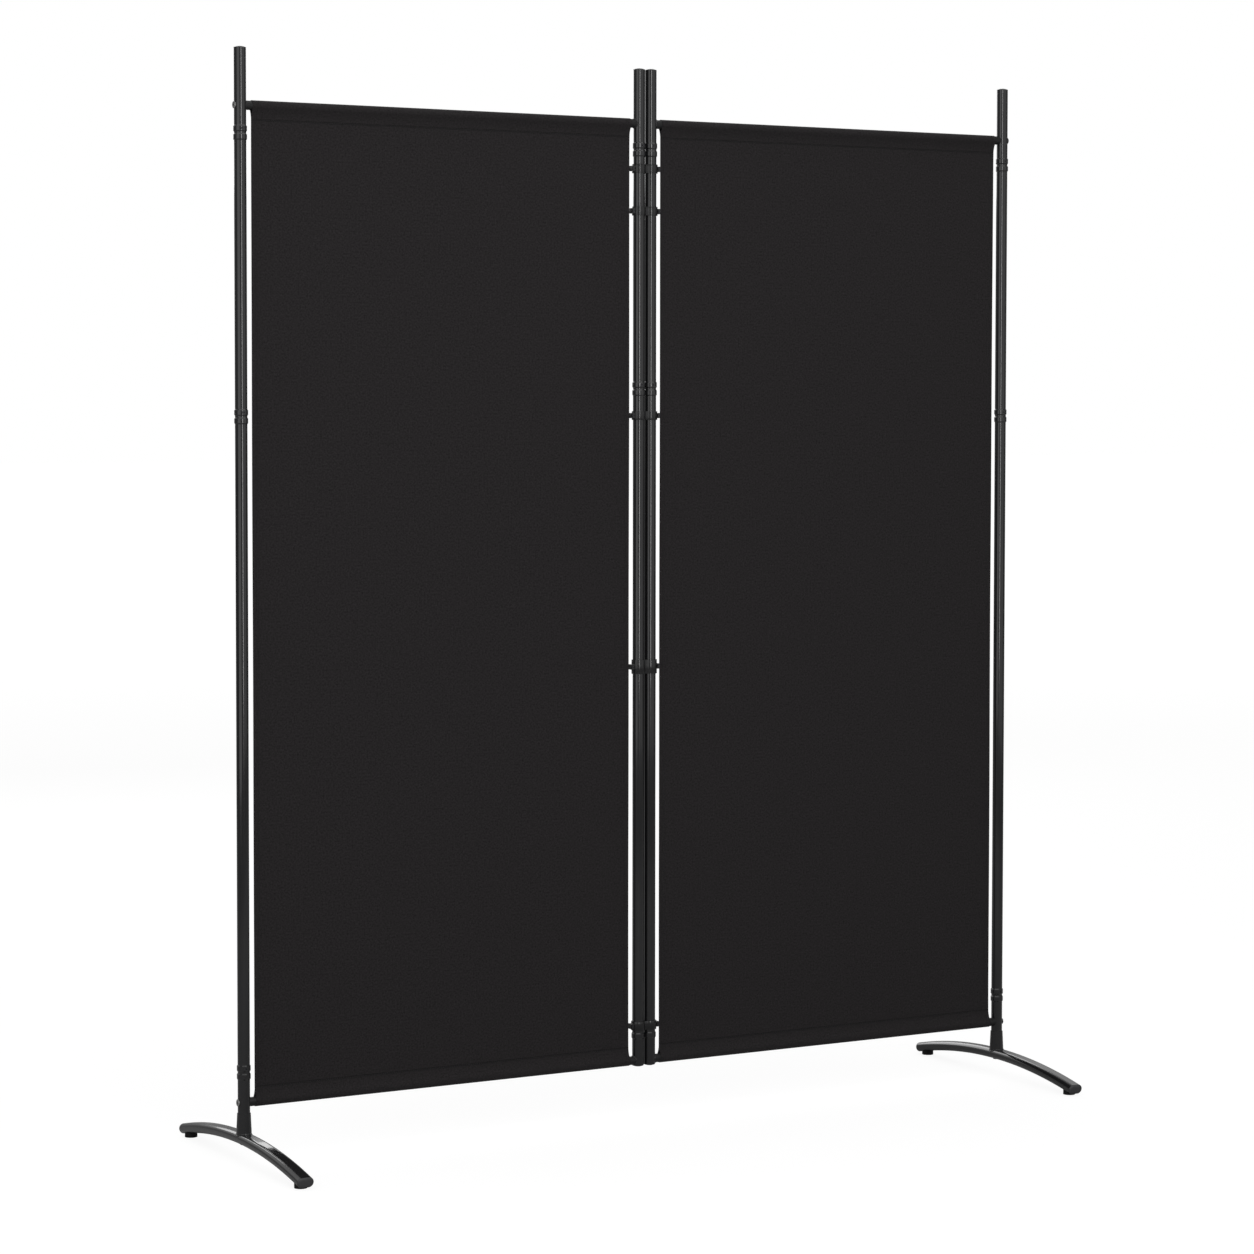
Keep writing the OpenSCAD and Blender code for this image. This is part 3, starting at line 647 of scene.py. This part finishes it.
def stitching(side, centre_x, half_web, z_low, z_high, phase):
    """Rows of stitches along both pocket seams and both side hems, front and back."""
    start_in = 3 * MM        # from a row's first stitch to the cloth's edge or to the pocket's seam
    pocket_faces = (-1.04 * MM, 1.02 * MM)
    hem_faces = (-0.54 * MM, 1.27 * MM)
    inset = half_web - HEM_STITCH
    lines = []
    for y in pocket_faces:
        for z in (z_low, z_high):
            lines.append((False, z, -half_web + start_in, half_web - start_in, y))
    for y in hem_faces:
        for u in (-inset, inset):
            lines.append((True, u, z_low + start_in, z_high - start_in, y))
    rows = []
    for upright, at, start, end, y in lines:
        s = one_stitch(STITCH_LENGTH)
        if upright:
            s.data.transform(Matrix.Rotation(math.radians(90), 4, "Y"))
        only(s)
        a = s.modifiers.new("row", "ARRAY")
        a.use_relative_offset = False
        a.use_constant_offset = True
        a.constant_offset_displace = (0, 0, STITCH_PITCH) if upright else (STITCH_PITCH, 0, 0)
        a.count = int((end - start) / STITCH_PITCH)
        apply_modifiers(s)
        place(s, Matrix.Translation((centre_x + at, y, start) if upright else (centre_x + start, y, at)))
        rows.append(s)
    sewn = join(rows, f"{side}_fabric_stitching")
    mesh = sewn.data
    co = points_of(mesh)
    off = hang(co[:, 0] - centre_x, co[:, 2], z_low, z_high, phase)
    co[:, 1] += off * ((co[:, 2] < z_high - 0.001) & (co[:, 2] > z_low + 0.001))
    mesh.vertices.foreach_set("co", co.ravel())
    mesh.update()
    smooth(sewn, 80)
    return sewn


for side in SIDES:
    fabric_panel(side)


# --------------------------------------------------------------- foot caps

def foot_cap(side, end):
    """Pressed-in end cap: a flange the size of the tube, a rounded shoulder and a low crown."""
    flange, crown, shoulder = 1.3 * MM, 2.7 * MM, 4.6 * MM
    plug_inset, plug_depth, plug_wall, plug_hollow = 1.6 * MM, 11 * MM, 1.4 * MM, 9 * MM
    sign = -1 if end == "front" else 1
    arch_low, arch_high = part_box(f"{side}_foot_arch")
    tilt = math.asin(ARCH_HALF / ARCH_BEND)
    deselect()
    bpy.ops.mesh.primitive_circle_add(vertices=56, radius=FOOT_T / 2 - 0.05 * MM, fill_type="NGON")
    cap = bpy.context.object
    edit(cap)
    for way in (1, -1):
        pick(lambda v: v.co.x * way > 1e-6)
        bpy.ops.transform.translate(value=(way * (FOOT_W - FOOT_T) / 2, 0, 0))
    bpy.ops.mesh.select_mode(type="FACE")
    bpy.ops.mesh.select_all(action="SELECT")
    bpy.ops.mesh.extrude_region_move(TRANSFORM_OT_translate={"value": (0, 0, flange)})
    height, inset_so_far = flange, 0.0
    steps = 7
    for k in range(1, steps + 1):
        a = math.radians(90) * k / steps
        reach = shoulder * (1 - math.cos(a))
        lift = crown * math.sin(a)
        bpy.ops.mesh.inset(thickness=reach - inset_so_far, depth=0)
        bpy.ops.transform.translate(value=(0, 0, flange + lift - height))
        inset_so_far, height = reach, flange + lift
    pick(lambda f: f.normal.z < -0.9 and f.calc_center_median().z < 1e-6, "FACE")
    bpy.ops.mesh.inset(thickness=plug_inset, depth=0)
    bpy.ops.mesh.extrude_region_move(TRANSFORM_OT_translate={"value": (0, 0, -plug_depth)})
    bpy.ops.mesh.inset(thickness=plug_wall, depth=0)
    bpy.ops.mesh.extrude_region_move(TRANSFORM_OT_translate={"value": (0, 0, plug_hollow)})
    bpy.ops.mesh.select_all(action="SELECT")
    bpy.ops.mesh.normals_make_consistent(inside=False)
    pick(lambda e: all(abs(v.co.z) < 1e-6 for v in e.verts)
         and e.calc_length() > 0 and len(e.link_faces) == 2
         and abs(e.link_faces[0].normal.z) + abs(e.link_faces[1].normal.z) < 1.2
         and max(abs(e.link_faces[0].normal.z), abs(e.link_faces[1].normal.z)) > 0.8, "EDGE")
    bpy.ops.mesh.bevel(offset=0.25 * MM, segments=2, affect="EDGES")
    bpy.ops.object.mode_set(mode="OBJECT")
    centre = Vector(((arch_low.x + arch_high.x) / 2, sign * ARCH_HALF,
                     arch_high.z - FOOT_T / 2 - ARCH_DROP))
    out = Vector((0, sign * math.cos(tilt), -math.sin(tilt)))
    wide = Vector((1, 0, 0))
    up = out.cross(wide)
    turn = Matrix((wide, up, out)).transposed().to_4x4()
    place(cap, Matrix.Translation(centre) @ turn)
    smooth(cap, 40)
    return dress(cap, f"{side}_foot_{end}_end_cap", cap_plastic, f"{side}_panel",
                 [f"{side}_foot_{end}_cap"])


for side in SIDES:
    for end in ("front", "rear"):
        foot_cap(side, end)


# ------------------------------------------------------------ hinge clips

def softened_copy(node, name, radius, material, body, smooth_at=35):
    """A copy of a frame node with its edges rounded, which stands for the node."""
    deselect()
    o = nodes[node].copy()
    o.data = nodes[node].data.copy()
    bpy.context.scene.collection.objects.link(o)
    o.parent = None
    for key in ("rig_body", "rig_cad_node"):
        if key in o:
            del o[key]
    o.matrix_world = Matrix.Identity(4)
    only(o)
    bpy.ops.mesh.customdata_custom_splitnormals_clear()
    edit(o)
    bpy.ops.mesh.select_all(action="SELECT")
    bpy.ops.mesh.remove_doubles(threshold=2e-6)
    bpy.ops.mesh.dissolve_limited(angle_limit=math.radians(1.5))
    bpy.ops.object.mode_set(mode="OBJECT")
    b = o.modifiers.new("rounded edges", "BEVEL")
    b.width, b.segments, b.limit_method, b.angle_limit = radius, 2, "ANGLE", math.radians(42)
    apply_modifiers(o)
    smooth(o, smooth_at)
    return dress(o, name, material, body, [node])


for k in range(1, 6):
    softened_copy(f"hinge_clip_{k}", f"hinge_clip_{k}_moulding", 0.45 * MM, clip_nylon, "hinge_clips")


# ------------------------------------------------------------------- welds

def weld(name, points, radius, body):
    """A coated weld bead along a closed line, with the ripples of its passes."""
    curve = bpy.data.curves.new(name, "CURVE")
    curve.dimensions = "3D"
    curve.bevel_depth = radius
    curve.bevel_resolution = 2
    line = curve.splines.new("POLY")
    line.points.add(len(points) - 1)
    for k, (p, spot) in enumerate(zip(line.points, points)):
        p.co = (*spot, 1.0)
        p.radius = 1.0 + 0.16 * math.sin(k * 1.9) + 0.08 * math.sin(k * 0.67 + 1.0)
    line.use_cyclic_u = True
    o = bpy.data.objects.new(name, curve)
    bpy.context.scene.collection.objects.link(o)
    only(o)
    bpy.ops.object.convert(target="MESH")
    o = bpy.context.object
    smooth(o, 60)
    return dress(o, name, satin_coat, body)


def rail_weld(side, level):
    """Where a rail's coped end meets its middle pole."""
    sign = SIDES[side]
    pole_x = middle(f"{side}_inner_pole_lower").x
    z = middle(f"{side}_{level}_rail").z
    points = []
    for k in range(72):
        a = 2 * math.pi * k / 72
        y, h = RAIL_R * 1.02 * math.sin(a), RAIL_R * 1.02 * math.cos(a)
        points.append((pole_x + sign * (math.sqrt(POLE_R ** 2 - y * y) + 0.25 * MM), y, z + h))
    return weld(f"{side}_{level}_rail_weld", points, 1.05 * MM, f"{side}_panel")


def socket_weld(side):
    """Where the socket stands on its arch."""
    low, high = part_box(f"{side}_foot_socket")
    x0, top = (low.x + high.x) / 2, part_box(f"{side}_foot_arch")[1].z
    r = (high.x - low.x) / 2 - 0.25 * MM
    points = []
    for k in range(90):
        a = 2 * math.pi * k / 90
        x, y = r * math.cos(a), r * math.sin(a)
        out = max(0.0, abs(x) - (FOOT_W - FOOT_T) / 2)
        z = top - FOOT_T / 2 + math.sqrt((FOOT_T / 2) ** 2 - out * out) - y * y / (2 * ARCH_BEND)
        points.append((x0 + x, y, z + 0.1 * MM))
    return weld(f"{side}_foot_socket_weld", points, 1.15 * MM, f"{side}_panel")


for side in SIDES:
    rail_weld(side, "top")
    rail_weld(side, "bottom")
    socket_weld(side)


# ----------------------------------------------------- camera, floor, light

camera = bpy.data.objects.new("camera", bpy.data.cameras.new("camera"))
bpy.context.scene.collection.objects.link(camera)
camera.location = (-3.0202, -5.1753, 1.2324)
camera.rotation_euler = (math.radians(90 - 2.6676), math.radians(-0.0675), math.radians(-29.9798))
camera.data.lens = 100.258
camera.data.sensor_width = 36.0
camera.data.shift_y = -0.05
camera.data.clip_end = 200.0
bpy.context.scene.camera = camera

deselect()
bpy.ops.mesh.primitive_plane_add(size=120.0, location=(0, 0, -0.0004))
floor = bpy.context.object
floor.name = "studio_floor"
m, t, b = new_material("studio_floor_paint")
b.inputs["Roughness"].default_value = 0.9
b.inputs["Specular IOR Level"].default_value = 0.0
seen = add_node(t, "ShaderNodeLightPath").outputs["Is Camera Ray"]
paint = add_node(t, "ShaderNodeMix",
                 {"Factor": seen, 6: (0.42, 0.42, 0.42, 1.0), 7: (0.16, 0.16, 0.16, 1.0)}, data_type="RGBA")
t.links.new(paint.outputs[2], b.inputs["Base Color"])
b.inputs["Emission Color"].default_value = (1.0, 1.0, 1.0, 1.0)
spot = add_node(t, "ShaderNodeTexCoord").outputs["Object"]
away = add_node(t, "ShaderNodeVectorMath", {0: spot}, operation="LENGTH").outputs["Value"]
t.links.new(maths(t, "MULTIPLY", seen, between(t, away, 2.0, 14.0, 0.90, 0.975)),
            b.inputs["Emission Strength"])
floor.data.materials.append(m)

world = bpy.data.worlds.new("studio")
bpy.context.scene.world = world
world.use_nodes = True
t = world.node_tree
t.nodes.clear()
way = add_node(t, "ShaderNodeSeparateXYZ", {0: add_node(t, "ShaderNodeTexCoord").outputs["Generated"]})
band = maths(t, "MULTIPLY", between(t, way.outputs["Z"], 0.14, 0.44),
             between(t, way.outputs["Z"], 0.95, 0.55))
behind = between(t, way.outputs["Y"], 0.0, 0.5)
glow = maths(t, "MULTIPLY_ADD", maths(t, "MULTIPLY", band, behind), 0.48, 0.22)
seen = add_node(t, "ShaderNodeLightPath").outputs["Is Camera Ray"]
strength = add_node(t, "ShaderNodeMix", {"Factor": seen, 2: glow, 3: 1.0}, data_type="FLOAT").outputs[0]
background = add_node(t, "ShaderNodeBackground", {"Color": (1.0, 1.0, 1.0, 1.0), "Strength": strength})
out = add_node(t, "ShaderNodeOutputWorld")
t.links.new(background.outputs[0], out.inputs[0])


def softbox(name, place_at, aim, width, height, radiance):
    """A rectangular area light of an even radiance, which the camera doesn't see."""
    light = bpy.data.lights.new(name, "AREA")
    light.shape = "RECTANGLE"
    light.size, light.size_y = width, height
    light.energy = radiance * math.pi * width * height
    o = bpy.data.objects.new(name, light)
    bpy.context.scene.collection.objects.link(o)
    o.location = place_at
    o.rotation_euler = (Vector(aim) - Vector(place_at)).to_track_quat("-Z", "Y").to_euler()
    o.visible_camera = False
    return o


CAMERA_BEARING = math.atan2(-0.868, -0.497)


def round_camera(degrees, distance, height):
    """A place at that many degrees to the right of the camera's direction, seen from the middle poles."""
    a = CAMERA_BEARING + math.radians(degrees)
    return (distance * math.cos(a), distance * math.sin(a), height)


BANK_AWAY, BANK_LOW, BANK_HIGH = 3.4, 0.28, 3.0
BANK_LEVEL = (BANK_LOW + BANK_HIGH) / 2
BANK_HALF_ANGLE = math.radians(21)
BANKS = ((-34, 0.95), (24, 0.50), (66, 0.50))    # degrees round from the camera, and radiance
for k, (degrees, radiance) in enumerate(BANKS):
    softbox(f"wrap_bank_{k + 1}", round_camera(degrees, BANK_AWAY, BANK_LEVEL), (0, 0, BANK_LEVEL),
            2 * BANK_AWAY * math.tan(BANK_HALF_ANGLE), BANK_HIGH - BANK_LOW, radiance)
STRIP_LEVEL = 1.75
softbox("strip", round_camera(15, BANK_AWAY - 0.3, STRIP_LEVEL), (0, 0, STRIP_LEVEL), 0.42, 2.5, 6.0)
softbox("overhead", (-0.3, -0.9, 4.2), (0, 0, 0), 5.0, 4.0, 1.0)
softbox("rear_fill", (0.8, 4.6, 3.0), (0, 0, 1.0), 5.0, 2.4, 1.7)

bpy.context.scene.view_settings.view_transform = "Standard"
